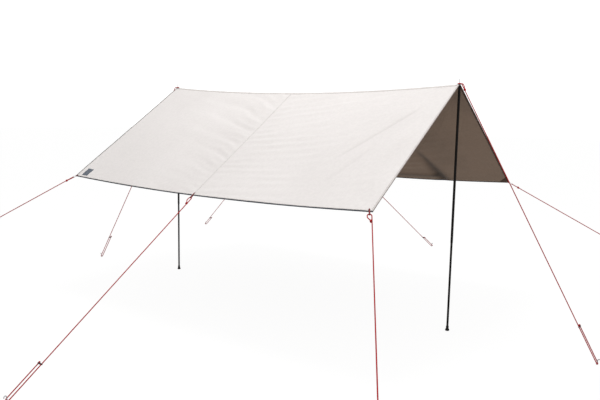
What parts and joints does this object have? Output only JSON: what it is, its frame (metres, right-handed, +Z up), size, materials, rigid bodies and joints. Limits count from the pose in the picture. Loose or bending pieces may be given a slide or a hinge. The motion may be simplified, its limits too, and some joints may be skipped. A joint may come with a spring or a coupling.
{
  "type": "tarp shelter",
  "caption": "Ridge tarp shelter: a gable-shaped cloth canopy on two telescopic poles, tied out by guys with runners and pegs.",
  "frame": {"origin": "on the ground under the middle of the ridge", "axes": "+X along the ridge towards the near pole, front eave at -Y, +Z up"},
  "size_m": [7.5224, 6.6641, 2.22],
  "materials": {
    "canopy_cloth": "matt woven cloth, off-white outside and taupe inside",
    "hem_binding": "matt dark grey binding",
    "seam_tape": "matt woven tape",
    "grey_webbing": "woven webbing",
    "loop_webbing": "woven webbing, dark red",
    "blank_label": "blank woven patch",
    "eyelet_steel": "pressed steel",
    "black_pole": "satin black coat",
    "dark_pole": "satin black coat",
    "black_nylon": "moulded nylon",
    "pin_steel": "bright steel",
    "foot_rubber": "matt rubber",
    "red_guy": "braided cord",
    "runner_nylon": "moulded nylon",
    "peg_steel": "plated steel"
  },
  "bodies": {
    "canopy_set": {"blank_label_patch": "blank_label", "canopy_front_panel_far": "canopy_cloth", "canopy_front_panel_near": "canopy_cloth", "canopy_rear_panel_far": "canopy_cloth", "canopy_rear_panel_near": "canopy_cloth", "centre_seam_tape_front": "seam_tape", "centre_seam_tape_rear": "seam_tape", "eave_hem_front": "hem_binding", "eave_hem_rear": "hem_binding", "far_front_guy": "red_guy", "far_front_loop": "loop_webbing", "far_front_peg": "peg_steel", "far_rear_guy": "red_guy", "far_rear_loop": "loop_webbing", "far_rear_peg": "peg_steel", "far_ridge_guy": "red_guy", "far_ridge_peg": "peg_steel", "gable_hem_front_far": "hem_binding", "gable_hem_front_near": "hem_binding", "gable_hem_rear_far": "hem_binding", "gable_hem_rear_near": "hem_binding", "mid_front_guy": "red_guy", "mid_front_loop": "loop_webbing", "mid_front_peg": "peg_steel", "mid_rear_guy": "red_guy", "mid_rear_loop": "loop_webbing", "mid_rear_peg": "peg_steel", "near_front_guy": "red_guy", "near_front_loop": "loop_webbing", "near_front_peg": "peg_steel", "near_rear_guy": "red_guy", "near_rear_loop": "loop_webbing", "near_rear_peg": "peg_steel", "near_ridge_guy": "red_guy", "near_ridge_peg": "peg_steel", "ridge_eyelet_far": "eyelet_steel", "ridge_eyelet_near": "eyelet_steel", "ridge_tab_far": "grey_webbing", "ridge_tab_near": "grey_webbing", "ridge_tape": "grey_webbing"},
    "near_pole_upper": {"near_pole_upper_tube": "black_pole", "near_pole_top_plug": "black_nylon", "near_pole_pin": "pin_steel"},
    "near_pole_lock": {"near_pole_lock_bush": "black_nylon"},
    "near_pole_lower": {"near_pole_lower_tube": "dark_pole", "near_pole_foot": "foot_rubber"},
    "far_pole_upper": {"far_pole_upper_tube": "black_pole", "far_pole_top_plug": "black_nylon", "far_pole_pin": "pin_steel"},
    "far_pole_lock": {"far_pole_lock_bush": "black_nylon"},
    "far_pole_lower": {"far_pole_lower_tube": "dark_pole", "far_pole_foot": "foot_rubber"},
    "far_front_runner": {"far_front_runner": "runner_nylon"},
    "near_front_runner": {"near_front_runner": "runner_nylon"},
    "near_rear_runner": {"near_rear_runner": "runner_nylon"},
    "far_rear_runner": {"far_rear_runner": "runner_nylon"},
    "mid_front_runner": {"mid_front_runner": "runner_nylon"},
    "mid_rear_runner": {"mid_rear_runner": "runner_nylon"},
    "near_ridge_runner": {"near_ridge_runner": "runner_nylon"},
    "far_ridge_runner": {"far_ridge_runner": "runner_nylon"}
  },
  "joints": [
    {"name": "near_pole_swing", "type": "hinge", "parent": "canopy_set", "child": "near_pole_upper", "pos_m": [1.745, 0, 2.16026], "axis": [0, 1, 0], "range_deg": [-8, 8]},
    {"name": "near_pole_telescope", "type": "slide", "parent": "near_pole_upper", "child": "near_pole_lock", "axis": [0, 0, 1], "range_m": [0, 0.6]},
    {"name": "near_pole_twist_lock", "type": "hinge", "parent": "near_pole_lock", "child": "near_pole_lower", "pos_m": [1.745, 0, 1.05], "axis": [0, 0, 1], "range_deg": [-90, 90]},
    {"name": "far_pole_swing", "type": "hinge", "parent": "canopy_set", "child": "far_pole_upper", "pos_m": [-1.745, 0, 2.16026], "axis": [0, 1, 0], "range_deg": [-8, 8]},
    {"name": "far_pole_telescope", "type": "slide", "parent": "far_pole_upper", "child": "far_pole_lock", "axis": [0, 0, 1], "range_m": [0, 0.6]},
    {"name": "far_pole_twist_lock", "type": "hinge", "parent": "far_pole_lock", "child": "far_pole_lower", "pos_m": [-1.745, 0, 1.05], "axis": [0, 0, 1], "range_deg": [-90, 90]},
    {"name": "far_front_runner_slide", "type": "slide", "parent": "canopy_set", "child": "far_front_runner", "axis": [-0.779, -0.4095, -0.4748], "range_m": [0, 0.24]},
    {"name": "near_front_runner_slide", "type": "slide", "parent": "canopy_set", "child": "near_front_runner", "axis": [0.4766, -0.7368, -0.4795], "range_m": [0, 0.24]},
    {"name": "near_rear_runner_slide", "type": "slide", "parent": "canopy_set", "child": "near_rear_runner", "axis": [0.779, 0.4095, -0.4748], "range_m": [0, 0.24]},
    {"name": "far_rear_runner_slide", "type": "slide", "parent": "canopy_set", "child": "far_rear_runner", "axis": [-0.779, 0.4095, -0.4748], "range_m": [0, 0.24]},
    {"name": "mid_front_runner_slide", "type": "slide", "parent": "canopy_set", "child": "mid_front_runner", "axis": [0.0725, -0.8375, -0.5416], "range_m": [0, 0.24]},
    {"name": "mid_rear_runner_slide", "type": "slide", "parent": "canopy_set", "child": "mid_rear_runner", "axis": [0.0175, 0.8599, -0.5102], "range_m": [0, 0.24]},
    {"name": "near_ridge_runner_slide", "type": "slide", "parent": "canopy_set", "child": "near_ridge_runner", "axis": [0.4932, 0, -0.8699], "range_m": [0, 0.24]},
    {"name": "far_ridge_runner_slide", "type": "slide", "parent": "canopy_set", "child": "far_ridge_runner", "axis": [-0.4886, -0.0808, -0.8687], "range_m": [0, 0.24]}
  ]
}
